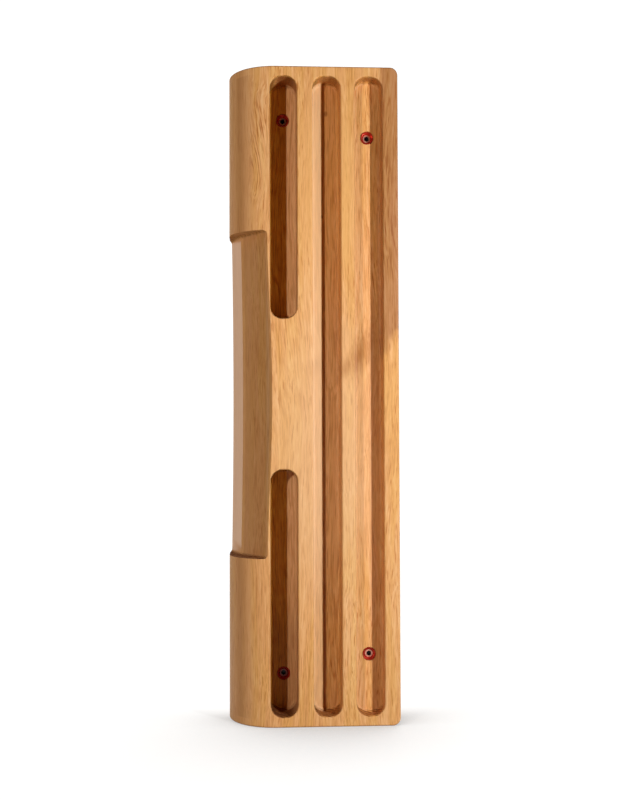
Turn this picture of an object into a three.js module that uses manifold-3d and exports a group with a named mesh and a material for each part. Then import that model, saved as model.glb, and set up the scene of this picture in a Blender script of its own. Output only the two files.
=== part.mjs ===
// A solid oak hangboard, the finger-strength trainer that climbers screw to a wall, with the four
// washers and four screws that hold it there. It is drawn standing on one end, in millimetres:
// Z runs along the board, -Y is the front that faces the climber, and -X is the edge that is
// uppermost in use. The origin is on the floor, under the middle of the board.

import * as THREE from 'three';
import { mergeVertices } from 'three/addons/utils/BufferGeometryUtils.js';
import Module from 'manifold-3d';

// The oak blank
const board_length = 580;
const board_height = 150;
const board_thickness = 58;
const crest_radius = 42;
const arris_radius = 2;
const end_arris_radius = 1.5;
const lower_corner_radius = 7;

// The finger slots: two long ones, and above them a pair of deep pockets on one line. Their
// heights are those of their centre lines above the edge that is lowest in use.
const slot_width = 25;
const pocket_width = 24;
const shallow_slot_height = 26.3;
const middle_slot_height = 63.5;
const pocket_height = 101.6;
const shallow_slot_depth = 14;
const middle_slot_depth = 21;
const pocket_depth = 28;
const slot_end_land = 9.2;
const pocket_bridge = 133;
const slot_corner_radius = 10.5;
const rim_radius = 1.5;
const floor_radius = 3;

// The sloper: a two-facet scoop cut across the rounded crest. Its three lines, at the back, on
// the ridge and at the front, are given as drops below the crest, and the scoop is hollowed so
// that each line lies a little deeper at mid-length.
const sloper_length = 288.6;
const sloper_end_radius = 4;
const gentle_facet_run = 24;
const back_drop = 1.9;
const ridge_drop = 10.5;
const front_drop = 34.6;
const back_hollow = 1.3;
const ridge_hollow = 1.9;
const front_hollow = 3.8;

// The fixings: a countersunk wood screw in a deep turned cup washer, which is let into the floor
// of its slot until only its lip stands out
const pocket_screw_end_distance = 41.2;
const slot_screw_end_distance = 60;
const bore_diameter = 5.6;
const washer_diameter = 11.6;
const washer_height = 6;
const washer_rise = 0.5;
const washer_foot_height = 1;
const washer_flank_lean = 0.3;
const washer_lip_width = 0.5;
const washer_lip_height = 0.3;
const washer_cup_depth = 3.2;
const washer_cup_lean = 0.8;
const washer_bore_diameter = 5.4;
const screw_head_diameter = 7;
const screw_head_rim = 0.3;
const screw_shank_diameter = 4.8;
const screw_length = 24;
const screw_point_length = 7;
const seat_clearance = 0.2;

// How finely round shapes are divided
const crest_steps = 18;
const arris_steps = 3;
const corner_steps = 6;
const slot_corner_steps = 8;
const hollow_steps = 12;
const turned_steps = 24;

// How far every cutter runs past the surface that it cuts
const overrun = 6;

// Places that follow from the sizes above
const top_side = -board_height / 2;
const bottom_side = board_height / 2;
const front_face = -board_thickness / 2;
const back_face = board_thickness / 2;
const mid_length = board_length / 2;
const long_slot_length = board_length - 2 * slot_end_land;
const pocket_length = (long_slot_length - pocket_bridge) / 2;
const pocket_offset = (pocket_bridge + pocket_length) / 2;

const oak = new THREE.MeshStandardMaterial({ color: 0xcf9555, roughness: 0.55, metalness: 0 });
const red_anodised = new THREE.MeshStandardMaterial({ color: 0xa81e14, roughness: 0.35, metalness: 0.9 });
const bright_steel = new THREE.MeshStandardMaterial({ color: 0xb9b6b2, roughness: 0.3, metalness: 1 });

const wasm = await Module();
wasm.setup();

function radians(degrees) {
  return THREE.MathUtils.degToRad(degrees);
}

// Turns a closed three.js geometry into a solid that can be cut.
function solidOf(geometry) {
  const bare = geometry.clone();
  bare.deleteAttribute('normal');
  bare.deleteAttribute('uv');
  const merged = mergeVertices(bare);
  const vertProperties = new Float32Array(merged.attributes.position.array);
  const triVerts = new Uint32Array(merged.index.array);
  return new wasm.Manifold(new wasm.Mesh({ numProp: 3, vertProperties, triVerts }));
}

// Turns a cut solid back into a geometry.
function geometryOf(solid) {
  const mesh = solid.getMesh();
  const geometry = new THREE.BufferGeometry();
  geometry.setAttribute('position', new THREE.BufferAttribute(new Float32Array(mesh.vertProperties), 3));
  geometry.setIndex(new THREE.BufferAttribute(new Uint32Array(mesh.triVerts), 1));
  geometry.computeVertexNormals();
  return geometry;
}

// A closed body through sections that lie one above the other along Z. Every section is an
// anticlockwise outline with the same number of points.
function loft(sections) {
  const count = sections[0].outline.length;
  const last = (sections.length - 1) * count;
  const positions = [];
  const indices = [];
  for (const { outline, z } of sections) {
    for (const point of outline) {
      positions.push(point.x, point.y, z);
    }
  }
  for (let low = 0; low < last; low += count) {
    const high = low + count;
    for (let i = 0; i < count; i += 1) {
      const next = (i + 1) % count;
      indices.push(low + i, low + next, high + next);
      indices.push(low + i, high + next, high + i);
    }
  }
  for (const [a, b, c] of THREE.ShapeUtils.triangulateShape(sections[0].outline, [])) {
    indices.push(c, b, a);
  }
  for (const [a, b, c] of THREE.ShapeUtils.triangulateShape(sections.at(-1).outline, [])) {
    indices.push(last + a, last + b, last + c);
  }
  const geometry = new THREE.BufferGeometry();
  geometry.setAttribute('position', new THREE.Float32BufferAttribute(positions, 3));
  geometry.setIndex(indices);
  return geometry;
}

// The points of an arc, both ends included, with its angles in degrees.
function arc(centre_x, centre_y, radius, from, to, steps) {
  const points = [];
  for (let i = 0; i <= steps; i += 1) {
    const angle = radians(from + ((to - from) * i) / steps);
    points.push(new THREE.Vector2(centre_x + radius * Math.cos(angle), centre_y + radius * Math.sin(angle)));
  }
  return points;
}

// How far a quarter round of this radius has still to go, at a distance into it from its start.
function roundLeft(radius, distance) {
  if (distance >= radius) {
    return 0;
  }
  return radius - Math.sqrt(radius ** 2 - (radius - distance) ** 2);
}

// The distances at which a quarter round of this radius is divided.
function roundStops(radius, steps) {
  const stops = [];
  for (let i = 0; i <= steps; i += 1) {
    stops.push(radius * (1 - Math.cos((Math.PI / 2) * (i / steps))));
  }
  return stops;
}

// The section of the blank at a distance from its nearer end. The arris all round the end and
// the two rounded lower corners both draw the outline in as it nears the end.
function boardOutline(distance) {
  const inset = roundLeft(end_arris_radius, distance);
  const corner = roundLeft(lower_corner_radius, distance);
  const arris = arris_radius - inset;
  const crest = crest_radius - inset;
  const lower_x = bottom_side - corner - arris_radius;
  const front_y = front_face + arris_radius;
  const back_y = back_face - arris_radius;
  return [
    ...arc(lower_x, front_y, arris, -90, 0, arris_steps),
    ...arc(lower_x, back_y, arris, 0, 90, arris_steps),
    ...arc(top_side + arris_radius, back_y, arris, 90, 180, arris_steps),
    ...arc(top_side + crest_radius, front_face + crest_radius, crest, 180, 270, crest_steps),
  ];
}

function blank() {
  const arris_stops = roundStops(end_arris_radius, arris_steps);
  const corner_stops = roundStops(lower_corner_radius, corner_steps);
  const stops = [...new Set([...arris_stops, ...corner_stops])].sort((a, b) => a - b);
  const lower = stops.map((distance) => ({ outline: boardOutline(distance), z: distance }));
  const upper = stops.map((distance) => ({ outline: boardOutline(distance), z: board_length - distance }));
  return solidOf(loft([...lower, ...upper.reverse()]));
}

// The outline of a slot with rounded corners, grown outwards by a spread.
function slotOutline(width, length, spread) {
  const radius = slot_corner_radius + spread;
  const side = width / 2 - slot_corner_radius;
  const end = length / 2 - slot_corner_radius;
  return [
    ...arc(side, end, radius, 0, 90, slot_corner_steps),
    ...arc(-side, end, radius, 90, 180, slot_corner_steps),
    ...arc(-side, -end, radius, 180, 270, slot_corner_steps),
    ...arc(side, -end, radius, 270, 360, slot_corner_steps),
  ];
}

// The cutter for one slot: an easy radius round its floor, straight walls, and a rounded rim.
function slotCutter({ x, z, width, length, depth }) {
  const sections = [];
  for (const rise of roundStops(floor_radius, arris_steps)) {
    sections.push({ outline: slotOutline(width, length, -roundLeft(floor_radius, rise)), z: rise });
  }
  for (const fall of roundStops(rim_radius, arris_steps).reverse()) {
    sections.push({ outline: slotOutline(width, length, roundLeft(rim_radius, fall)), z: depth - fall });
  }
  sections.push({ outline: slotOutline(width, length, rim_radius), z: depth + overrun });
  const geometry = loft(sections);
  geometry.rotateX(Math.PI / 2);
  geometry.translate(x, front_face + depth, z);
  return solidOf(geometry);
}

// The scoop's section at a place along the board. It comes up in a quarter round at its ends.
function sloperOutline(along) {
  const half_length = sloper_length / 2;
  const hollow = 1 - (along / half_length) ** 2;
  const lift = roundLeft(sloper_end_radius, half_length - Math.abs(along));
  const back_x = top_side + back_drop + back_hollow * hollow - lift;
  const ridge_x = top_side + ridge_drop + ridge_hollow * hollow - lift;
  const front_x = top_side + front_drop + front_hollow * hollow ** 2 - lift;
  const gentle_slope = (ridge_x - back_x) / gentle_facet_run;
  const steep_slope = (front_x - ridge_x) / (board_thickness - gentle_facet_run);
  const clear_x = top_side - overrun;
  return [
    new THREE.Vector2(clear_x, front_face - overrun),
    new THREE.Vector2(front_x + overrun * steep_slope, front_face - overrun),
    new THREE.Vector2(ridge_x, back_face - gentle_facet_run),
    new THREE.Vector2(back_x - overrun * gentle_slope, back_face + overrun),
    new THREE.Vector2(clear_x, back_face + overrun),
  ];
}

function sloperCutter() {
  const half_length = sloper_length / 2;
  const reach = half_length - sloper_end_radius;
  const places = roundStops(sloper_end_radius, arris_steps).map((distance) => distance - half_length);
  for (let i = 1; i < hollow_steps; i += 1) {
    places.push(reach * ((2 * i) / hollow_steps - 1));
  }
  places.push(...roundStops(sloper_end_radius, arris_steps).map((distance) => half_length - distance).reverse());
  return solidOf(loft(places.map((along) => ({ outline: sloperOutline(along), z: mid_length + along }))));
}

// A round hole across the board, from one depth to another.
function drillCutter({ x, z }, radius, from, to) {
  const geometry = new THREE.CylinderGeometry(radius, radius, to - from, turned_steps);
  geometry.translate(x, (from + to) / 2, z);
  return solidOf(geometry);
}

// A screw's hole: a flat recess that its washer is let into, and a bore on out through the back.
function fixingCutter(fixing) {
  const recess_radius = washer_diameter / 2 + seat_clearance;
  const recess = drillCutter(fixing, recess_radius, fixing.floor - overrun, fixing.seat);
  return recess.add(drillCutter(fixing, bore_diameter / 2, fixing.floor, back_face + overrun));
}

// The cup washer, turned about Z with its foot at zero: a flat foot, a leaning flank, a narrow
// lip, a steep cup and a cone at its foot that the screw's head sits in.
const flank_radius = washer_diameter / 2 - washer_flank_lean;
const cup_radius = flank_radius - washer_lip_width;
const cone_radius = cup_radius - washer_cup_lean;
const cone_top = washer_height - washer_lip_height - washer_cup_depth;

function washerGeometry() {
  const outer = washer_diameter / 2;
  const bore = washer_bore_diameter / 2;
  const profile = [
    new THREE.Vector2(bore, 0),
    new THREE.Vector2(outer, 0),
    new THREE.Vector2(outer, washer_foot_height),
    new THREE.Vector2(flank_radius, washer_height - washer_lip_height),
    new THREE.Vector2(flank_radius - washer_lip_width / 2, washer_height),
    new THREE.Vector2(cup_radius, washer_height - washer_lip_height),
    new THREE.Vector2(cone_radius, cone_top),
    new THREE.Vector2(bore, cone_top - (cone_radius - bore)),
    new THREE.Vector2(bore, 0),
  ];
  return turned(profile);
}

// The screw, turned about Z with the top of its head at zero. Its thread is left plain.
function screwGeometry() {
  const head = screw_head_diameter / 2;
  const shank = screw_shank_diameter / 2;
  const neck = screw_head_rim + (head - shank);
  const profile = [
    new THREE.Vector2(0, -screw_length),
    new THREE.Vector2(shank, -screw_length + screw_point_length),
    new THREE.Vector2(shank, -neck),
    new THREE.Vector2(head, -screw_head_rim),
    new THREE.Vector2(head, 0),
    new THREE.Vector2(0, 0),
  ];
  return turned(profile);
}

// Turns a profile of radius and height about Z.
function turned(profile) {
  const geometry = new THREE.LatheGeometry(profile, turned_steps);
  geometry.rotateX(Math.PI / 2);
  return geometry;
}

function namedMesh(name, geometry, material) {
  const mesh = new THREE.Mesh(geometry, material.clone());
  mesh.name = name;
  return mesh;
}

const shallow_slot_x = bottom_side - shallow_slot_height;
const middle_slot_x = bottom_side - middle_slot_height;
const pocket_x = bottom_side - pocket_height;

const long_slot = { z: mid_length, width: slot_width, length: long_slot_length };
const pocket = { x: pocket_x, width: pocket_width, length: pocket_length, depth: pocket_depth };
const slots = [
  { ...long_slot, x: shallow_slot_x, depth: shallow_slot_depth },
  { ...long_slot, x: middle_slot_x, depth: middle_slot_depth },
  { ...pocket, z: mid_length + pocket_offset },
  { ...pocket, z: mid_length - pocket_offset },
];

const pocket_floor = front_face + pocket_depth;
const slot_floor = front_face + shallow_slot_depth;
const recess_depth = washer_height - washer_rise;
const in_pocket = { x: pocket_x, floor: pocket_floor, seat: pocket_floor + recess_depth };
const in_slot = { x: shallow_slot_x, floor: slot_floor, seat: slot_floor + recess_depth };
const fixings = [
  { ...in_pocket, name: 'upper_pocket', z: board_length - pocket_screw_end_distance },
  { ...in_pocket, name: 'lower_pocket', z: pocket_screw_end_distance },
  { ...in_slot, name: 'upper_slot', z: board_length - slot_screw_end_distance },
  { ...in_slot, name: 'lower_slot', z: slot_screw_end_distance },
];

function boardGeometry() {
  let board = blank();
  for (const slot of slots) {
    board = board.subtract(slotCutter(slot));
  }
  board = board.subtract(sloperCutter());
  for (const fixing of fixings) {
    board = board.subtract(fixingCutter(fixing));
  }
  return geometryOf(board);
}

// Each washer stands on the floor of its recess, and its screw's head lies in the washer's cone,
// with the seat clearance square to the cone between them.
const contact_height = cone_top - (cone_radius - screw_head_diameter / 2);
const head_height = contact_height + seat_clearance * Math.SQRT2 + screw_head_rim;

const group = new THREE.Group();
group.add(namedMesh('board', boardGeometry(), oak));
for (const { name, x, z, seat } of fixings) {
  const fixing = new THREE.Group();
  fixing.position.set(x, seat, z);
  fixing.rotation.x = Math.PI / 2;
  const washer = namedMesh(`${name}_washer`, washerGeometry(), red_anodised);
  const screw = namedMesh(`${name}_screw`, screwGeometry(), bright_steel);
  screw.position.z = head_height;
  fixing.add(washer, screw);
  group.add(fixing);
}

export default group;
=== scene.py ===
import math

import bmesh
import bpy
from mathutils import Matrix, Vector


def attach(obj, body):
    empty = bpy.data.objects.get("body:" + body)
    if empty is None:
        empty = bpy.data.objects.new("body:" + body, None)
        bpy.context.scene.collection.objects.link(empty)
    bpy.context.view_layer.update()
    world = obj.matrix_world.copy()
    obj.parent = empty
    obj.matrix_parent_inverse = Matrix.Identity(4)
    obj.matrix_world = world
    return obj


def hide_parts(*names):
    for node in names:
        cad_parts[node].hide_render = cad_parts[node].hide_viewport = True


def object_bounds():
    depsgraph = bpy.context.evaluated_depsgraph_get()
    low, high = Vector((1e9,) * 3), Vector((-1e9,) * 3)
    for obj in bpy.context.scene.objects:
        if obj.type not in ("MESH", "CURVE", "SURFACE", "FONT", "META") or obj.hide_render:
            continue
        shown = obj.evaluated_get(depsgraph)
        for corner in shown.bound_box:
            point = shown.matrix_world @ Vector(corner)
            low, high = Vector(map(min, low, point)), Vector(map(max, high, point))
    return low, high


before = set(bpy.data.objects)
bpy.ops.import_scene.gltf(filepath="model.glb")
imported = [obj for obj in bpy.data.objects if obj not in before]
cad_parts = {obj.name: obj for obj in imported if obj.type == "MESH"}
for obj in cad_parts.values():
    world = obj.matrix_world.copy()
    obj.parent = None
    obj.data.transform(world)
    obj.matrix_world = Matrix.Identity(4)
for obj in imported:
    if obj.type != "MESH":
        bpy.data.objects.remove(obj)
cad_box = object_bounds()

# The board
# One block of oak. Its upper front edge is shaped to a large round and its other edges are
# broken, then the slots and pockets are routed and a two-facet scoop is cut across the round.
# It stands on one end, so TOP is the edge at the left that is uppermost in use.

mm = 0.001
near_corner, far_corner = [[round(value, 5) for value in corner] for corner in cad_box]
TOP, FRONT = near_corner[:2]
BOTTOM, BACK, LENGTH = far_corner
MID = LENGTH / 2
CREST_RADIUS = 42 * mm
CREST_STEPS = 26
CORNER_RADIUS = 7 * mm
ARRIS = 1.6 * mm
RUN_OUT = 6 * mm


def leave_edit():
    if bpy.context.mode == "EDIT_MESH":
        bpy.ops.object.mode_set(mode="OBJECT")


def deselect():
    leave_edit()
    bpy.ops.object.select_all(action="DESELECT")


def block(name, low, high):
    """A cuboid between two corners, left in edit mode with its place in its mesh."""
    deselect()
    centre = [(a + b) / 2 for a, b in zip(low, high)]
    bpy.ops.mesh.primitive_cube_add(size=1, location=centre)
    piece = bpy.context.object
    piece.name = name
    piece.scale = [b - a for a, b in zip(low, high)]
    bpy.ops.object.transform_apply(location=True, rotation=True, scale=True)
    bpy.ops.object.mode_set(mode="EDIT")
    return piece


def pick(kind, test):
    """Selects, in edit mode, the points, edges or faces whose place passes the test."""
    bpy.ops.mesh.select_mode(type=kind)
    bpy.ops.mesh.select_all(action="DESELECT")
    mesh = bpy.context.object.data
    shape = bmesh.from_edit_mesh(mesh)
    if kind == "VERT":
        for point in shape.verts:
            point.select = test(point.co)
    elif kind == "EDGE":
        for edge in shape.edges:
            edge.select = test(edge.verts[0].co, edge.verts[1].co)
    else:
        for face in shape.faces:
            face.select = test(face.calc_center_median(), face.normal)
    shape.select_flush_mode()
    bmesh.update_edit_mesh(mesh)


def runs_along(a, b, axis):
    """Whether the edge from a to b lies along one axis, 0 for X, 1 for Y and 2 for Z."""
    span = b - a
    return abs(span[axis]) > 0.999 * span.length


def at(value, place):
    return abs(value - place) < 0.01 * mm


def cut(piece, cutter):
    """Takes the cutter's shape out of the piece."""
    leave_edit()
    deselect()
    piece.select_set(True)
    bpy.context.view_layer.objects.active = piece
    step = piece.modifiers.new("cut", "BOOLEAN")
    step.operation = "DIFFERENCE"
    step.solver = "EXACT"
    step.object = cutter
    bpy.ops.object.modifier_apply(modifier=step.name)
    bpy.data.objects.remove(cutter)


board = block("oak_board", (TOP, FRONT, 0), (BOTTOM, BACK, LENGTH))
pick("EDGE", lambda a, b: runs_along(a, b, 2) and at(a.x, TOP) and at(a.y, FRONT))
bpy.ops.mesh.bevel(offset=CREST_RADIUS, segments=CREST_STEPS, affect="EDGES")
pick("EDGE", lambda a, b: runs_along(a, b, 1) and at(a.x, BOTTOM))
bpy.ops.mesh.bevel(offset=CORNER_RADIUS, segments=12, affect="EDGES")
pick("EDGE", lambda a, b: False)
bpy.ops.mesh.edges_select_sharp(sharpness=math.radians(30))
bpy.ops.mesh.bevel(offset=ARRIS, segments=5, affect="EDGES", clamp_overlap=False)
leave_edit()

# The finger slots and pockets, each routed in one pass with a rounded rim and an eased floor
SLOT_CORNER = 10.5 * mm
RIM = 1.5 * mm
FLOOR_EASE = 3 * mm
CORNER_STEPS = 14
ROUND_STEPS = 5


def routed(x, z, width, length, depth):
    """What the router takes out for one slot, from its rim at the front down to its floor."""
    half_width = width / 2 + RIM
    half_length = length / 2 + RIM
    low = (x - half_width, FRONT - RUN_OUT, z - half_length)
    high = (x + half_width, FRONT, z + half_length)
    cutter = block("router_path", low, high)
    pick("EDGE", lambda a, b: runs_along(a, b, 1))
    bpy.ops.mesh.bevel(offset=SLOT_CORNER + RIM, segments=CORNER_STEPS, affect="EDGES")
    pick("FACE", lambda centre, normal: normal.y > 0.9)
    turns = [math.pi / 2 * i / ROUND_STEPS for i in range(ROUND_STEPS + 1)]
    for a, b in zip(turns, turns[1:]):
        narrower = RIM * (math.sin(b) - math.sin(a))
        deeper = RIM * (math.cos(a) - math.cos(b))
        bpy.ops.mesh.inset(thickness=narrower, depth=deeper)
    wall = (0, depth - RIM - FLOOR_EASE, 0)
    bpy.ops.mesh.extrude_region_move(TRANSFORM_OT_translate={"value": wall})
    for a, b in zip(turns, turns[1:]):
        narrower = FLOOR_EASE * (math.cos(a) - math.cos(b))
        deeper = FLOOR_EASE * (math.sin(b) - math.sin(a))
        bpy.ops.mesh.inset(thickness=narrower, depth=deeper)
    return cutter


SHALLOW_X = 48.7 * mm
MIDDLE_X = 11.5 * mm
POCKET_X = -26.6 * mm
SHALLOW_DEPTH = 14 * mm
MIDDLE_DEPTH = 21 * mm
POCKET_DEPTH = 28 * mm
SLOT_WIDTH = 25 * mm
POCKET_WIDTH = 24 * mm
SLOT_LENGTH = 561.6 * mm
POCKET_LENGTH = 214.3 * mm
POCKET_OFFSET = 173.65 * mm
cut(board, routed(SHALLOW_X, MID, SLOT_WIDTH, SLOT_LENGTH, SHALLOW_DEPTH))
cut(board, routed(MIDDLE_X, MID, SLOT_WIDTH, SLOT_LENGTH, MIDDLE_DEPTH))
for z in (MID - POCKET_OFFSET, MID + POCKET_OFFSET):
    cut(board, routed(POCKET_X, z, POCKET_WIDTH, POCKET_LENGTH, POCKET_DEPTH))

# The sloper, cut in two passes that meet on a crisp ridge, each a little hollow along its length
SCOOP_LENGTH = 288.6 * mm
SCOOP_CORNER = 4 * mm
RIDGE_Y = 5 * mm
SCOOP_STEPS = 28
SCOOP_EASE = 0.9 * mm
FRONT_CUT = 34.6 * mm
FRONT_HOLLOW = 3.8 * mm
RIDGE_CUT = 10.5 * mm
RIDGE_HOLLOW = 1.9 * mm
BACK_CUT = 1.9 * mm
BACK_HOLLOW = 1.3 * mm
STEEP_END = 20 * mm
GENTLE_START = -3 * mm
FRONT_SLACK = 0.7 * mm
RIDGE_SLACK = 0.6 * mm
RIDGE_REACH = 14 * mm


def scoop_line(y, z):
    """The X of the steep and of the gentle facet at a place across and along the board."""
    along = (z - MID) / (SCOOP_LENGTH / 2)
    hollow = max(0.0, 1 - along**2)
    back = TOP + BACK_CUT + BACK_HOLLOW * hollow
    ridge = TOP + RIDGE_CUT + RIDGE_HOLLOW * hollow
    front = TOP + FRONT_CUT + FRONT_HOLLOW * hollow**2
    steep = ridge + (front - ridge) * (y - RIDGE_Y) / (FRONT - RIDGE_Y)
    gentle = ridge + (back - ridge) * (y - RIDGE_Y) / (BACK - RIDGE_Y)
    return steep, gentle


def facet_pass(which, front_y, back_y):
    """The block that one pass of the sloper takes out."""
    low = (TOP - 2 * RUN_OUT, front_y, MID - SCOOP_LENGTH / 2)
    high = (0, back_y, MID + SCOOP_LENGTH / 2)
    cutter = block("sloper_pass", low, high)
    pick("EDGE", lambda a, b: runs_along(a, b, 1) and at(a.x, 0))
    bpy.ops.mesh.bevel(offset=SCOOP_CORNER, segments=6, affect="EDGES")
    pick("EDGE", lambda a, b: runs_along(a, b, 2) and (b - a).length > SCOOP_LENGTH / 2)
    bpy.ops.mesh.subdivide(number_cuts=SCOOP_STEPS)
    shape = bmesh.from_edit_mesh(cutter.data)
    places = sorted({(round(p.co.y, 6), round(p.co.z, 6)) for p in shape.verts})
    for y, z in places:
        pick("VERT", lambda p: p.x > TOP and at(p.y, y) and at(p.z, z))
        bpy.ops.transform.translate(value=(scoop_line(y, z)[which], 0, 0))
    return cutter


def clear_of_corners(a, b):
    """Whether the edge from a to b lies within the sloper's length, between its corners."""
    return abs((a.z + b.z) / 2 - MID) < SCOOP_LENGTH / 2 - SCOOP_CORNER


def on_front_edge(a, b):
    """Whether the edge from a to b is where the sloper runs out at the board's front."""
    middle = TOP + FRONT_CUT + FRONT_HOLLOW / 2
    near = abs((a.x + b.x) / 2 - middle) < FRONT_HOLLOW / 2 + FRONT_SLACK
    return at(a.y, FRONT) and at(b.y, FRONT) and near and clear_of_corners(a, b)


cut(board, facet_pass(0, FRONT - RUN_OUT, STEEP_END))
cut(board, facet_pass(1, GENTLE_START, BACK + RUN_OUT))
bpy.ops.object.mode_set(mode="EDIT")
pick("EDGE", on_front_edge)
bpy.ops.mesh.bevel(offset=SCOOP_EASE, segments=3, affect="EDGES", clamp_overlap=False)
leave_edit()

# The holes for the screws: a flat recess in the floor of the slot, which the washer is let into,
# and a bore from there out through the back
BORE_RADIUS = 2.8 * mm
RECESS_RADIUS = 6 * mm
RECESS_DEPTH = 5.5 * mm
POCKET_SEAT = FRONT + POCKET_DEPTH + RECESS_DEPTH
SLOT_SEAT = FRONT + SHALLOW_DEPTH + RECESS_DEPTH
POCKET_SCREW_INSET = 41.2 * mm
SLOT_SCREW_INSET = 60 * mm
SCREW_PLACES = {
    "upper_pocket": (POCKET_X, POCKET_SEAT, LENGTH - POCKET_SCREW_INSET),
    "lower_pocket": (POCKET_X, POCKET_SEAT, POCKET_SCREW_INSET),
    "upper_slot": (SHALLOW_X, SLOT_SEAT, LENGTH - SLOT_SCREW_INSET),
    "lower_slot": (SHALLOW_X, SLOT_SEAT, SLOT_SCREW_INSET),
}


def across_the_front(x, seat, z, radius, low, high, name, sides=64):
    """A cylinder that points at the climber, between two heights over a seat, in edit mode."""
    deselect()
    bpy.ops.mesh.primitive_cylinder_add(
        vertices=sides,
        radius=radius,
        depth=high - low,
        location=(x, seat - (low + high) / 2, z),
        rotation=(math.pi / 2, 0, 0),
    )
    piece = bpy.context.object
    piece.name = name
    bpy.ops.object.transform_apply(location=True, rotation=True, scale=True)
    bpy.ops.object.mode_set(mode="EDIT")
    return piece


for x, seat, z in SCREW_PLACES.values():
    for radius, low in ((RECESS_RADIUS, 0), (BORE_RADIUS, seat - BACK - RUN_OUT)):
        drill = across_the_front(x, seat, z, radius, low, RECESS_DEPTH + RUN_OUT, "drill")
        cut(board, drill)

bpy.ops.object.mode_set(mode="EDIT")
bpy.ops.mesh.select_all(action="SELECT")
bpy.ops.mesh.remove_doubles(threshold=0.01 * mm)
leave_edit()
bpy.ops.object.shade_smooth_by_angle(angle=math.radians(35))


def on_ridge(a, b):
    """Whether the edge from a to b lies on the sloper's ridge."""
    level = max(abs(a.y - RIDGE_Y), abs(b.y - RIDGE_Y)) < RIDGE_SLACK
    outside = max(a.x, b.x) < TOP + RIDGE_REACH
    upright = abs(b.z - a.z) > 0.9 * (b - a).length
    return level and outside and upright and clear_of_corners(a, b)


bpy.ops.object.mode_set(mode="EDIT")
pick("EDGE", on_ridge)
bpy.ops.mesh.mark_sharp()
leave_edit()
even = board.modifiers.new("even_shading", "WEIGHTED_NORMAL")
even.keep_sharp = True
bpy.ops.object.modifier_apply(modifier=even.name)


def colour(red, green, blue):
    """A colour as it is read off a screen, 0 to 255, in the linear values that nodes take."""
    parts = [part / 255 for part in (red, green, blue)]
    return [p / 12.92 if p <= 0.04045 else ((p + 0.055) / 1.055) ** 2.4 for p in parts] + [1]


def wire(tree, kind, inputs=None, **settings):
    """Adds a node to a tree, and sets each named input to a value or links it to an output."""
    made = tree.nodes.new(kind)
    for name, value in settings.items():
        setattr(made, name, value)
    for name, value in (inputs or {}).items():
        if isinstance(value, bpy.types.NodeSocket):
            tree.links.new(value, made.inputs[name])
        else:
            made.inputs[name].default_value = value
    return made


def reckon(tree, operation, a, b=0.0, c=0.0):
    """The result of one sum on numbers."""
    return wire(tree, "ShaderNodeMath", {0: a, 1: b, 2: c}, operation=operation).outputs[0]


def product(tree, first, *others):
    """The product of two or more numbers."""
    for other in others:
        first = reckon(tree, "MULTIPLY", first, other)
    return first


def shift(tree, operation, a, b):
    """The result of one sum on places."""
    return wire(tree, "ShaderNodeVectorMath", {0: a, 1: b}, operation=operation).outputs[0]


def length_of(tree, span):
    """How long a span is."""
    return wire(tree, "ShaderNodeVectorMath", {0: span}, operation="LENGTH").outputs["Value"]


def ramp(tree, value, low, high, start=0.0, end=1.0):
    """Turns a number that runs from low to high smoothly into one from start to end."""
    sizes = {"Value": value, "From Min": low, "From Max": high, "To Min": start, "To Max": end}
    return wire(tree, "ShaderNodeMapRange", sizes, interpolation_type="SMOOTHSTEP").outputs[0]


def window(tree, value, rise, fall):
    """One between two soft edges, each given from where it is nothing to where it is full."""
    return product(tree, ramp(tree, value, *rise), ramp(tree, value, *fall))


def tint(tree, amount, under, over, blend="MIX"):
    """Lays one colour over another by an amount."""
    inputs = {0: amount, 6: under, 7: over}
    made = wire(tree, "ShaderNodeMix", inputs, data_type="RGBA", blend_type=blend)
    return made.outputs[2]


def fibres(tree, place, across, along, detail=2.0, rough=0.5):
    """Noise drawn out along the board, a number about one half."""
    stretched = shift(tree, "MULTIPLY", place, (1 / across, 1 / across, 1 / along))
    inputs = {"Vector": stretched, "Scale": 1.0, "Detail": detail, "Roughness": rough}
    return wire(tree, "ShaderNodeTexNoise", inputs).outputs[0]


def new_material(name):
    """An empty material, its node tree and its surface shader, which is wired to the output."""
    material = bpy.data.materials.new(name)
    material.use_nodes = True
    tree = material.node_tree
    return material, tree, tree.nodes["Principled BSDF"]


def patch(tree, place, centre, reach, inner, wavy, lean=0.0):
    """A soft-edged patch of wood, one in its middle. Its centre and reach are in millimetres."""
    ragged = fibres(tree, place, 7 * mm, 16 * mm)
    off = shift(tree, "SUBTRACT", place, [value * mm for value in centre])
    parts = wire(tree, "ShaderNodeSeparateXYZ", {0: off}).outputs
    right = reckon(tree, "MULTIPLY_ADD", parts["Z"], -lean, parts["X"])
    right = reckon(tree, "DIVIDE", right, reach[0] * mm)
    up = reckon(tree, "DIVIDE", parts["Z"], reach[1] * mm)
    off = wire(tree, "ShaderNodeCombineXYZ", {0: right, 2: up}).outputs[0]
    away = reckon(tree, "MULTIPLY_ADD", ragged, wavy, length_of(tree, off))
    return ramp(tree, away, inner + wavy / 2, 1 + wavy / 2, 1.0, 0.0)


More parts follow.
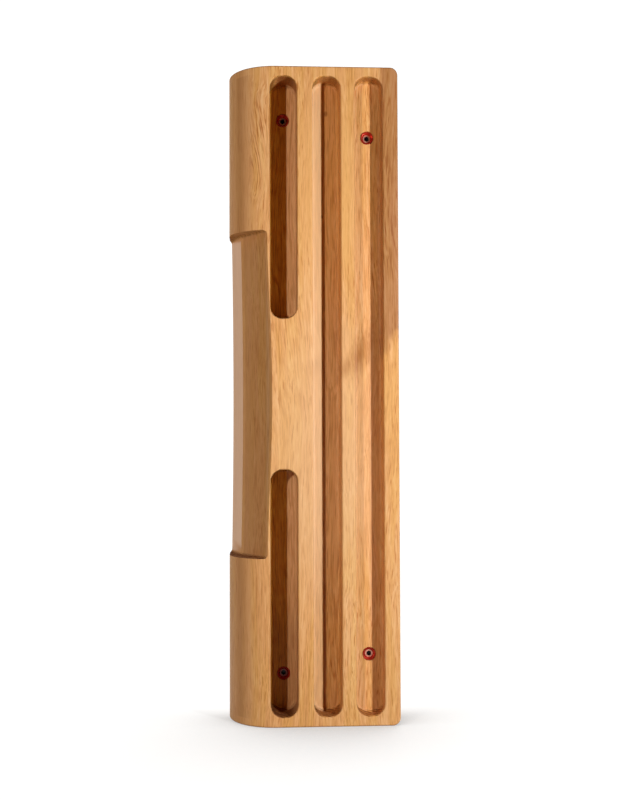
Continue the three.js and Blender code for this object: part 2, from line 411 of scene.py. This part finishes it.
# The oak is rift sawn, so its growth rings run as straight streaks along the face and as arcs
# across the two ends. Its pores are short dark dashes.
PITH = (300 * mm, 220 * mm, 0)
RING_WIDTH = 2.6 * mm
RING_DRIFT = 420 * mm
SWAY = 24 * mm
oak, tree, surface = new_material("oiled_oak")
place = wire(tree, "ShaderNodeTexCoord").outputs["Object"]
spot = wire(tree, "ShaderNodeSeparateXYZ", {0: place}).outputs
across_board, depth_in, along_board = spot["X"], spot["Y"], spot["Z"]
wander = wire(tree, "ShaderNodeTexNoise", {
    "Vector": shift(tree, "MULTIPLY", place, (1 / 0.07, 1 / 0.07, 1 / 0.2)),
    "Scale": 1.0,
    "Detail": 2.0,
})
sway = shift(tree, "SUBTRACT", wander.outputs["Color"], (0.5, 0.5, 0.5))
sway = shift(tree, "MULTIPLY", sway, (SWAY, SWAY, 0))
run = shift(tree, "ADD", place, sway)

# The grain leans over in a figured patch at the upper end of the crest
FIGURE_HEIGHT = 515
GRAIN_LEAN = 0.127
figured = patch(tree, place, (-49, 0, FIGURE_HEIGHT), (13, 62), 0.4, 0.3)
leaning = reckon(tree, "SUBTRACT", along_board, FIGURE_HEIGHT * mm)
leaning = product(tree, leaning, GRAIN_LEAN, figured)
leaning = wire(tree, "ShaderNodeCombineXYZ", {0: leaning}).outputs[0]
run = shift(tree, "ADD", run, leaning)

from_pith = shift(tree, "SUBTRACT", run, PITH)
from_pith = shift(tree, "MULTIPLY", from_pith, (1, 1, 0))
ring_place = wire(tree, "ShaderNodeCombineXYZ", {
    0: reckon(tree, "DIVIDE", length_of(tree, from_pith), RING_WIDTH),
    2: reckon(tree, "DIVIDE", along_board, RING_DRIFT),
}).outputs[0]
rings = wire(tree, "ShaderNodeTexNoise", {
    "Vector": ring_place, "Scale": 1.0, "Detail": 3.0, "Roughness": 0.6,
}).outputs[0]
broad = fibres(tree, run, 26 * mm, 200 * mm)
fine = fibres(tree, run, 1.1 * mm, 34 * mm, detail=3.0, rough=0.62)
short = fibres(tree, run, 1.0 * mm, 14 * mm, detail=3.0, rough=0.65)
dashes = fibres(tree, run, 0.9 * mm, 18 * mm)
pores = product(tree, ramp(tree, dashes, 0.55, 0.68), ramp(tree, rings, 0.3, 0.6))

# The four patterns sway the tone about one half, and the tone picks the colour of the wood
tone = 0.5
for grain, share in ((broad, 0.30), (rings, 0.40), (fine, 0.66), (short, 0.62)):
    tone = reckon(tree, "MULTIPLY_ADD", grain, share, reckon(tree, "SUBTRACT", tone, share / 2))
tones = wire(tree, "ShaderNodeValToRGB", {0: tone})
stops = tones.color_ramp.elements
stops[0].position, stops[0].color = 0.20, colour(202, 136, 76)
stops[1].position, stops[1].color = 0.80, colour(255, 210, 156)
middle = stops.new(0.5)
middle.color = colour(239, 179, 117)
wood = tones.outputs["Color"]
wood = tint(tree, pores, wood, colour(220, 190, 162), "MULTIPLY")
golden = fibres(tree, run, 9 * mm, 160 * mm, detail=1.0)
wood = tint(tree, ramp(tree, golden, 0.42, 0.60), wood, colour(252, 252, 234), "MULTIPLY")

# Longer dark strokes show on the figured crest and on the edge that is lowest in use
strokes = ramp(tree, fibres(tree, run, 0.9 * mm, 30 * mm, detail=1.0), 0.55, 0.63)
lower_edge = patch(tree, place, (65, 0, 450), (9, 80), 0.4, 0.3)
strokes = product(tree, strokes, reckon(tree, "MAXIMUM", figured, lower_edge), 0.8)
wood = tint(tree, strokes, wood, colour(208, 178, 146), "MULTIPLY")

# Three pin knots
for across, up, reach in ((12.1, 543.4, 2.4), (-0.3, 551.3, 1.2), (8.3, 449.9, 1.5)):
    off = shift(tree, "SUBTRACT", place, (across * mm, 0, up * mm))
    off = shift(tree, "MULTIPLY", off, (1 / (reach * mm), 0, 0.7 / (reach * mm)))
    knot = ramp(tree, length_of(tree, off), 1.0, 0.35)
    wood = tint(tree, knot, wood, colour(140, 80, 70), "MULTIPLY")

# Plainer, golden wood lies between the slots at the upper end
calm = patch(tree, place, (14, FRONT / mm, 470), (34, 130), 0.5, 0.3)
wood = tint(tree, product(tree, calm, 0.5), wood, colour(241, 184, 113))

# Paler, pinker wood lies about the middle of the board. A redder band along the edge that is
# lowest in use ends in a slanting, wavy line.
pale = patch(tree, place, (10, 0, 240), (62, 170), 0.4, 0.3)
wood = tint(tree, product(tree, pale, 0.42), wood, colour(246, 202, 154))
slant = wire(
    tree, "ShaderNodeVectorMath", {0: place, 1: (-1.0, 0.7, 1.0)}, operation="DOT_PRODUCT"
)
edge = fibres(tree, place, 14 * mm, 24 * mm)
edge = reckon(tree, "MULTIPLY_ADD", edge, 0.03, slant.outputs["Value"])
band = product(
    tree, ramp(tree, edge, 0.256, 0.272), ramp(tree, across_board, 56 * mm, 63 * mm)
)
wood = tint(tree, band, wood, colour(209, 197, 197), "MULTIPLY")

# Three brown stains near the band's end, which don't reach through to the back
for centre, reach, share in (
    ((41.5, 0, 326), (14, 30), 1.0), ((28, 0, 314), (8, 17), 0.6), ((3, 0, 315), (8, 16), 0.7),
):
    stain = patch(tree, place, centre, reach, 0.0, 0.5, 0.25)
    stain = product(tree, stain, share, ramp(tree, depth_in, 26 * mm, 14 * mm))
    wood = tint(tree, stain, wood, colour(213, 190, 164), "MULTIPLY")

# Painted light makes the crest paler
crest_light = window(tree, across_board, (-50 * mm, -58 * mm), (-73 * mm, -68 * mm))
wood = tint(tree, product(tree, crest_light, 0.45), wood, colour(250, 196, 142))

# Sawn and routed end grain takes the oil darker, and the cutter scribbles over it. In the slots and
# pockets the end walls also carry painted light and shade: those that face down, over a slot, are
# painted lighter, the more so where they turn to the right, and those that face up are painted
# darker, the darkest in the pockets.
facing = wire(tree, "ShaderNodeTexCoord").outputs["Normal"]
facing = wire(tree, "ShaderNodeSeparateXYZ", {0: facing}).outputs
end_grain = ramp(tree, reckon(tree, "ABSOLUTE", facing["Z"]), 0.2, 0.8)
hangs = ramp(tree, facing["Z"], -0.05, -0.25)
from_mid = reckon(tree, "ABSOLUTE", reckon(tree, "SUBTRACT", along_board, MID))
cut_in = ramp(tree, from_mid, MID - 3 * mm, MID - 5 * mm)
past_pockets = ramp(tree, across_board, -20 * mm, -8 * mm)
# Painted shade on the end walls that face up, darkest in the pockets
under = tint(tree, past_pockets, colour(160, 132, 110), colour(206, 184, 158))
past_middle = ramp(tree, across_board, 24 * mm, 34 * mm)
under = tint(tree, past_middle, under, colour(232, 212, 186))
sawn = tint(tree, cut_in, colour(220, 194, 166), under)
# Painted light on the end walls that face down, lighter where they turn right
turning_right = ramp(tree, facing["X"], -0.3, 0.5)
over = tint(tree, turning_right, colour(204, 190, 156), colour(255, 252, 220))
sawn = tint(tree, product(tree, hangs, cut_in), sawn, over)
wood = tint(tree, product(tree, end_grain, 0.8), wood, sawn, "MULTIPLY")
scribble = wire(tree, "ShaderNodeTexWave", {
    "Vector": shift(tree, "MULTIPLY", place, (0.45, 1, 1)), "Scale": 205.0, "Distortion": 5.0,
    "Detail": 2.0, "Detail Scale": 1.2,
}, bands_direction="DIAGONAL").outputs["Fac"]
scribbles = product(
    tree, end_grain, ramp(tree, scribble, 0.45, 0.75),
    reckon(tree, "MULTIPLY_ADD", cut_in, 0.7, 0.1),
    reckon(tree, "MULTIPLY_ADD", hangs, -0.6, 1.0),
)
wood = tint(tree, scribbles, wood, colour(120, 92, 76), "MULTIPLY")

# The walls and floors of the slots and pockets have tones matched to how they look in the
# photograph, and these are painted shade and painted light. The pockets are the darkest.
inside = product(
    tree, ramp(tree, reckon(tree, "ABSOLUTE", across_board), 70 * mm, 66 * mm),
    window(tree, depth_in, (FRONT + 2 * mm, FRONT + 4 * mm), (3 * mm, 1 * mm)),
    ramp(tree, from_mid, MID - 6 * mm, MID - 7.5 * mm),
)
in_pocket = window(tree, across_board, (-9 * mm, -11 * mm), (-43 * mm, -41 * mm))
in_pocket = product(tree, inside, in_pocket)
in_slots = product(tree, inside, ramp(tree, across_board, -11 * mm, -9 * mm))
faces_right = ramp(tree, facing["X"], 0.35, 0.85)
# Painted shade on the walls that face right, deepest in the pockets
wood = tint(tree, product(tree, faces_right, in_pocket), wood, colour(172, 160, 124), "MULTIPLY")
wood = tint(tree, product(tree, faces_right, in_slots), wood, colour(208, 216, 204), "MULTIPLY")
faces_left = ramp(tree, facing["X"], -0.35, -0.85)
# Painted shade, slight, on the walls that face left, short of the shallow slot
left_wall_shade = product(tree, faces_left, inside, ramp(tree, across_board, 34 * mm, 30 * mm))
wood = tint(tree, left_wall_shade, wood, colour(238, 233, 231), "MULTIPLY")
# Painted light makes the pockets' walls that face left paler
wood = tint(tree, product(tree, faces_left, in_pocket, 0.6), wood, colour(230, 186, 142))
# Painted shade on the pockets' end walls that face down
arch_shade = product(tree, in_pocket, hangs, ramp(tree, facing["X"], 0.7, 0.2))
wood = tint(tree, arch_shade, wood, colour(220, 202, 186), "MULTIPLY")

# Painted shade on one side of each pocket's floor and painted light on the other, and painted shade
# towards the lower end of the lower pocket
pocket_floor = product(tree, in_pocket, ramp(tree, depth_in, -6 * mm, -3 * mm))
floor_shade = ramp(tree, across_board, -22.8 * mm, -24.2 * mm)
wood = tint(tree, product(tree, pocket_floor, floor_shade), wood, colour(250, 236, 150), "MULTIPLY")
floor_light = reckon(tree, "MULTIPLY_ADD", floor_shade, -0.5, 0.5)
wood = tint(tree, product(tree, pocket_floor, floor_light), wood, colour(246, 206, 162))
low_end_shade = product(tree, in_pocket, ramp(tree, along_board, 120 * mm, 60 * mm))
wood = tint(tree, low_end_shade, wood, colour(232, 222, 214), "MULTIPLY")

# The cutter leaves streaks in every slot and pocket, the faintest in the shallow slot
streaks = product(
    tree, reckon(tree, "MULTIPLY_ADD", ramp(tree, across_board, 30 * mm, 34 * mm), -0.35, 0.5),
    reckon(tree, "MAXIMUM", in_pocket, in_slots),
    ramp(tree, fibres(tree, run, 1.3 * mm, 30 * mm), 0.48, 0.62),
)
wood = tint(tree, streaks, wood, colour(206, 178, 150), "MULTIPLY")

# The middle slot's floor is painted pale at the left, a painted light, with a dark line along it, a
# painted shadow, and the shallow slot is duller at the right, a painted shade, all matched to the
# photograph
lit_floor = product(
    tree, window(tree, across_board, (-4 * mm, -2 * mm), (9 * mm, 7 * mm)),
    ramp(tree, depth_in, -14 * mm, -10 * mm), inside,
    ramp(tree, along_board, 60 * mm, 220 * mm, 0.4, 0.6),
)
wood = tint(tree, lit_floor, wood, colour(255, 218, 170))
line = product(
    tree, window(tree, across_board, (8.0 * mm, 8.6 * mm), (11.0 * mm, 10.6 * mm)),
    ramp(tree, depth_in, -12 * mm, -9 * mm), inside,
)
wood = tint(tree, line, wood, colour(214, 192, 176), "MULTIPLY")
shaded_side = product(
    tree, ramp(tree, across_board, 49 * mm, 52 * mm), inside,
    ramp(tree, along_board, 400 * mm, 330 * mm),
)
wood = tint(tree, shaded_side, wood, colour(240, 232, 236), "MULTIPLY")

# Palms polish the gentle facet of the sloper to a gloss, and painted light makes its colour paler
# there, a painted sheen
scoop_end = SCOOP_LENGTH / 2 - 0.3 * mm
gloss_and_sheen = product(
    tree, ramp(tree, depth_in, RIDGE_Y, RIDGE_Y + 0.5 * mm),
    ramp(tree, from_mid, scoop_end, scoop_end - 2 * mm),
    ramp(tree, facing["X"], -0.86, -0.92),
    ramp(tree, across_board, -54 * mm, -60 * mm),
)
wood = tint(tree, product(tree, gloss_and_sheen, 0.4), wood, colour(248, 186, 148))
tree.links.new(wood, surface.inputs["Base Color"])
tree.links.new(product(tree, gloss_and_sheen, 0.8), surface.inputs["Coat Weight"])
surface.inputs["Coat Roughness"].default_value = 0.3
surface.inputs["Specular IOR Level"].default_value = 0.22
satin = ramp(tree, fine, 0.3, 0.7, 0.42, 0.54)
satin = reckon(tree, "MULTIPLY_ADD", end_grain, 0.35, satin)
tree.links.new(satin, surface.inputs["Roughness"])
grooves = reckon(tree, "MULTIPLY_ADD", pores, -1.0, fine)
relief = wire(tree, "ShaderNodeBump", {"Strength": 0.12, "Distance": 0.3 * mm, "Height": grooves})
tree.links.new(relief.outputs["Normal"], surface.inputs["Normal"])
board.data.materials.clear()
board.data.materials.append(oak)
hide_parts("board")
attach(board, "root")

# The washers
# Each is a deep cup turned from aluminium bar and anodised red, with a narrow lip and a cone at
# its foot for the screw's head. It is let into the floor of its slot, and the screw holds it.


def turned_marks():
    """Fine rings left by the lathe, which roughen and ridge a turned face."""
    group = bpy.data.node_groups.new("lathe_marks", "ShaderNodeTree")
    group.interface.new_socket("Spacing", in_out="INPUT", socket_type="NodeSocketFloat")
    group.interface.new_socket("Roughness", in_out="INPUT", socket_type="NodeSocketFloat")
    group.interface.new_socket("Roughness", in_out="OUTPUT", socket_type="NodeSocketFloat")
    group.interface.new_socket("Ridges", in_out="OUTPUT", socket_type="NodeSocketFloat")
    given = wire(group, "NodeGroupInput")
    across = wire(group, "ShaderNodeUVMap", uv_map="turned").outputs[0]
    scaled = wire(group, "ShaderNodeVectorMath", {0: across}, operation="SCALE")
    group.links.new(given.outputs["Spacing"], scaled.inputs["Scale"])
    rings = wire(group, "ShaderNodeTexNoise", {
        "Vector": scaled.outputs[0], "Scale": 1.0, "Detail": 2.0,
    }).outputs[0]
    worn = ramp(group, rings, 0.3, 0.7, -0.06, 0.06)
    rough = reckon(group, "ADD", worn, given.outputs["Roughness"])
    wire(group, "NodeGroupOutput", {"Roughness": rough, "Ridges": rings})
    return group


def mark_turning(piece, x, top, z):
    """Gives a turned piece a map of its radius and of its depth below its top, in centimetres."""
    layer = piece.data.uv_layers.new(name="turned")
    for loop in piece.data.loops:
        point = piece.data.vertices[loop.vertex_index].co
        out = math.hypot(point.x - x, point.z - z)
        layer.data[loop.index].uv = (out * 100, (point.y - top) * 100)


def copies(pattern, from_place, kind, node):
    """Copies a finished pattern to the four fixing places, each copy with a mesh of its own."""
    for name, to_place in SCREW_PLACES.items():
        piece = pattern.copy()
        piece.data = pattern.data.copy()
        piece.name = f"{name}_{kind}"
        piece.data.transform(Matrix.Translation(Vector(to_place) - Vector(from_place)))
        bpy.context.scene.collection.objects.link(piece)
        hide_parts(f"{name}_{node}")
        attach(piece, "root")
    bpy.data.objects.remove(pattern)


WASHER_RADIUS = 5.8 * mm
WASHER_HEIGHT = 6 * mm
WASHER_FOOT = 1 * mm
WASHER_BORE = 2.7 * mm
CUP_DEPTH = 3.2 * mm
CUP_LEAN = 0.8 * mm
WASHER_LEAN = 0.3 * mm
LIP_HEIGHT = 0.3 * mm
LIP_SIDE = 0.25 * mm
SEAT_CONE = 1.7 * mm
OVERRUN = 2 * mm
pattern_place = SCREW_PLACES["upper_slot"]
x, seat_y, z = pattern_place
washer = across_the_front(x, seat_y, z, WASHER_RADIUS, 0, WASHER_FOOT, "cup_washer", 96)
pick("FACE", lambda centre, normal: normal.y < -0.9)
bpy.ops.mesh.inset(thickness=WASHER_LEAN, depth=WASHER_HEIGHT - WASHER_FOOT - LIP_HEIGHT)
bpy.ops.mesh.inset(thickness=LIP_SIDE, depth=LIP_HEIGHT)
bpy.ops.mesh.inset(thickness=LIP_SIDE, depth=-LIP_HEIGHT)
bpy.ops.mesh.inset(thickness=CUP_LEAN, depth=-CUP_DEPTH)
bpy.ops.mesh.inset(thickness=SEAT_CONE, depth=-SEAT_CONE)
drill_top = WASHER_HEIGHT + OVERRUN
drill = across_the_front(x, seat_y, z, WASHER_BORE, -OVERRUN, drill_top, "washer_drill", 96)
cut(washer, drill)
bpy.ops.object.mode_set(mode="EDIT")
pick("EDGE", lambda a, b: False)
bpy.ops.mesh.edges_select_sharp(sharpness=math.radians(20))
bpy.ops.mesh.bevel(offset=0.09 * mm, segments=3, affect="EDGES")
leave_edit()
bpy.ops.object.shade_smooth_by_angle(angle=math.radians(40))
mark_turning(washer, x, seat_y - WASHER_HEIGHT, z)

anodised, tree, surface = new_material("red_anodised_aluminium")
lathe = turned_marks()
marks = wire(tree, "ShaderNodeGroup", node_tree=lathe)
marks.inputs["Spacing"].default_value = 180
marks.inputs["Roughness"].default_value = 0.3
place = wire(tree, "ShaderNodeTexCoord").outputs["Object"]
bloom = wire(tree, "ShaderNodeTexNoise", {"Vector": place, "Scale": 900.0, "Detail": 2.0}).outputs[0]
dye = tint(tree, ramp(tree, bloom, 0.35, 0.65), colour(208, 52, 34), colour(224, 76, 54))
tree.links.new(dye, surface.inputs["Base Color"])
tree.links.new(marks.outputs["Roughness"], surface.inputs["Roughness"])
ridge = wire(tree, "ShaderNodeBump", {
    "Strength": 0.25, "Distance": 0.04 * mm, "Height": marks.outputs["Ridges"],
})
tree.links.new(ridge.outputs["Normal"], surface.inputs["Normal"])
surface.inputs["Metallic"].default_value = 0.55
washer.data.materials.append(anodised)
copies(washer, pattern_place, "cup_washer", "washer")

# The screws
# Countersunk steel wood screws with a hexagon socket, headed, then rolled to a thread. Each runs
# through its washer and its bore, and on the real wall into a stud.
HEAD_RADIUS = 3.5 * mm
HEAD_TOP = 2.3828 * mm
HEAD_RIM = 0.3 * mm
SHANK_RADIUS = 2.4 * mm
CORE_RADIUS = 1.7 * mm
SCREW_LENGTH = 24 * mm
POINT_LENGTH = 7 * mm
POINT_RADIUS = 0.1 * mm
PLAIN_NECK = 4.5 * mm
SOCKET_RADIUS = 2.4 * mm
SOCKET_DEPTH = 3 * mm
screw = across_the_front(
    x, seat_y, z, HEAD_RADIUS, HEAD_TOP - HEAD_RIM, HEAD_TOP, "wood_screw", 96
)
pick("FACE", lambda centre, normal: normal.y > 0.9)
cone = HEAD_RADIUS - SHANK_RADIUS
bpy.ops.mesh.inset(thickness=cone, depth=cone)
bpy.ops.mesh.extrude_region_move(TRANSFORM_OT_translate={"value": (0, PLAIN_NECK, 0)})
thread_height = SHANK_RADIUS - CORE_RADIUS
bpy.ops.mesh.inset(thickness=thread_height, depth=thread_height)
core_length = SCREW_LENGTH - HEAD_RIM - cone - PLAIN_NECK - thread_height - POINT_LENGTH
bpy.ops.mesh.extrude_region_move(TRANSFORM_OT_translate={"value": (0, core_length, 0)})
bpy.ops.mesh.inset(thickness=CORE_RADIUS - POINT_RADIUS, depth=POINT_LENGTH)
socket = across_the_front(
    x, seat_y, z, SOCKET_RADIUS, HEAD_TOP - SOCKET_DEPTH, HEAD_TOP + OVERRUN, "hexagon", 6
)
pick("FACE", lambda centre, normal: normal.y > 0.9)
bpy.ops.mesh.inset(thickness=0.9 * mm, depth=0.4 * mm)
cut(screw, socket)
bpy.ops.object.mode_set(mode="EDIT")
pick("EDGE", lambda a, b: False)
bpy.ops.mesh.edges_select_sharp(sharpness=math.radians(30))
bpy.ops.mesh.bevel(offset=0.1 * mm, segments=3, affect="EDGES")
leave_edit()
bpy.ops.object.shade_smooth_by_angle(angle=math.radians(40))
mark_turning(screw, x, seat_y - HEAD_TOP, z)

steel, tree, surface = new_material("bright_steel")
marks = wire(tree, "ShaderNodeGroup", node_tree=lathe)
marks.inputs["Spacing"].default_value = 140
marks.inputs["Roughness"].default_value = 0.42
across = wire(tree, "ShaderNodeUVMap", uv_map="turned").outputs[0]
across = wire(tree, "ShaderNodeSeparateXYZ", {0: across}).outputs
socket_edge = SOCKET_RADIUS * 100  # the turned map is in centimetres
# Painted shade fills the hexagon socket with near black
socket_shade = product(
    tree, ramp(tree, across["X"], socket_edge - 0.005, socket_edge + 0.005, 1.0, 0.0),
    ramp(tree, across["Y"], 0.02, 0.05),
)
place = wire(tree, "ShaderNodeTexCoord").outputs["Object"]
bloom = wire(tree, "ShaderNodeTexNoise", {"Vector": place, "Scale": 700.0, "Detail": 3.0}).outputs[0]
# The steel's pink tone is a painted reflection of the red cup around it
metal = tint(tree, ramp(tree, bloom, 0.35, 0.65), colour(208, 142, 122), colour(232, 172, 150))
spot = wire(tree, "ShaderNodeSeparateXYZ", {0: place}).outputs
# Painted shade darkens the lower pocket's screw head
head_shade = product(
    tree, ramp(tree, spot["X"], 0.0, -10 * mm), ramp(tree, spot["Z"], 300 * mm, 100 * mm)
)
metal = tint(tree, head_shade, metal, colour(128, 88, 84), "MULTIPLY")
metal = tint(tree, socket_shade, metal, colour(15, 12, 11))
tree.links.new(metal, surface.inputs["Base Color"])
tree.links.new(marks.outputs["Roughness"], surface.inputs["Roughness"])
ridge = wire(tree, "ShaderNodeBump", {
    "Strength": 0.2, "Distance": 0.03 * mm, "Height": marks.outputs["Ridges"],
})
tree.links.new(ridge.outputs["Normal"], surface.inputs["Normal"])
surface.inputs["Metallic"].default_value = 0.6
screw.data.materials.append(steel)
copies(screw, pattern_place, "wood_screw", "screw")

# The photographer's table, lamps and camera
# A white sweep curves up behind the board. It is seen as white, and so it is by gloss, and the
# room behind the camera is dim.

deselect()
bpy.ops.mesh.primitive_plane_add(size=1.6, location=(0, 0, 0))
floor = bpy.context.object
floor.name = "table_top"
paper, tree, _ = new_material("white_table")
tree.nodes.clear()
rays = wire(tree, "ShaderNodeLightPath").outputs
seen = reckon(tree, "MAXIMUM", rays["Is Camera Ray"], rays["Is Glossy Ray"])
seen = reckon(tree, "MAXIMUM", seen, rays["Is Transmission Ray"])
# The table's glow dims where the board shuts it in, in front of the board only, a painted contact
# shadow
openness = wire(tree, "ShaderNodeAmbientOcclusion", {"Distance": 0.6}, samples=8)
glow = wire(tree, "ShaderNodeMapRange", {
    "Value": openness.outputs["AO"],
    "From Min": 0.5, "From Max": 1.0, "To Min": 0.5, "To Max": 0.985,
}).outputs[0]
place = wire(tree, "ShaderNodeTexCoord").outputs["Object"]
spot = wire(tree, "ShaderNodeSeparateXYZ", {0: place}).outputs
behind = ramp(tree, spot["Y"], -60 * mm, 60 * mm)
strength = product(tree, reckon(tree, "MAXIMUM", glow, behind), seen)
white = wire(tree, "ShaderNodeEmission", {"Color": (1, 1, 1, 1), "Strength": strength})
matt = wire(tree, "ShaderNodeBsdfDiffuse", {"Color": (0.3, 0.3, 0.3, 1)})
both = wire(tree, "ShaderNodeAddShader", {0: white.outputs[0], 1: matt.outputs[0]})
wire(tree, "ShaderNodeOutputMaterial", {"Surface": both.outputs[0]})
floor.data.materials.append(paper)

# The room is dim, with a bright sweep behind the board and a faint wall at its left
ROOM = 0.015
SWEEP = 1.1
WALL = 0.14
world = bpy.data.worlds.new("studio")
bpy.context.scene.world = world
world.use_nodes = True
tree = world.node_tree
background = tree.nodes["Background"].inputs
rays = wire(tree, "ShaderNodeLightPath").outputs
seen = reckon(tree, "MAXIMUM", rays["Is Camera Ray"], rays["Is Transmission Ray"])
towards = wire(tree, "ShaderNodeTexCoord").outputs["Generated"]
towards = wire(tree, "ShaderNodeSeparateXYZ", {0: towards}).outputs
sweep = ramp(tree, towards["Y"], 0.48, 0.75, ROOM, SWEEP)
wall = ramp(tree, towards["X"], -0.2, -0.7, 0.0, WALL)
level = reckon(tree, "MAXIMUM", seen, reckon(tree, "ADD", wall, sweep))
tree.links.new(level, background["Strength"])
warm = tint(tree, seen, (1.0, 0.86, 0.70, 1), (1, 1, 1, 1))
tree.links.new(warm, background["Color"])

LAMP_SIZE = 20 * mm


def lamp(name, place, aim, power, spread):
    """A small lamp at a place, turned towards what it lights, with a grid over its front."""
    light = bpy.data.lights.new(name, "AREA")
    light.size = LAMP_SIZE
    light.energy = power
    light.spread = math.radians(spread)
    holder = bpy.data.objects.new(name, light)
    bpy.context.scene.collection.objects.link(holder)
    holder.location = place
    holder.rotation_euler = (Vector(aim) - Vector(place)).to_track_quat("-Z", "Y").to_euler()
    return light


lamp("key_lamp", (0.590, -0.729, 0.33), (0, FRONT, 0.33), 4.55, 150)
fill = lamp("fill_lamp", (-0.60, -1.0, 0.40), (0, FRONT, 0.38), 3.1, 160)
fill.color = (1.0, 0.84, 0.66)

CAMERA_PLACE = (-50.65 * mm, -989 * mm, 255.04 * mm)
YAW, PITCH, ROLL = -0.0579474705, 0.0305204215, 0.00327118523
camera_data = bpy.data.cameras.new("camera")
camera_data.sensor_width = 36
camera_data.lens = 49.402
camera = bpy.data.objects.new("camera", camera_data)
bpy.context.scene.collection.objects.link(camera)
turn = (
    Matrix.Rotation(YAW, 3, "Z")
    @ Matrix.Rotation(PITCH, 3, "X")
    @ Matrix.Rotation(ROLL, 3, "Y")
    @ Matrix.Rotation(math.pi / 2, 3, "X")
)
camera.matrix_world = Matrix.Translation(CAMERA_PLACE) @ turn.to_4x4()
bpy.context.scene.camera = camera
bpy.context.scene.view_settings.view_transform = "Standard"
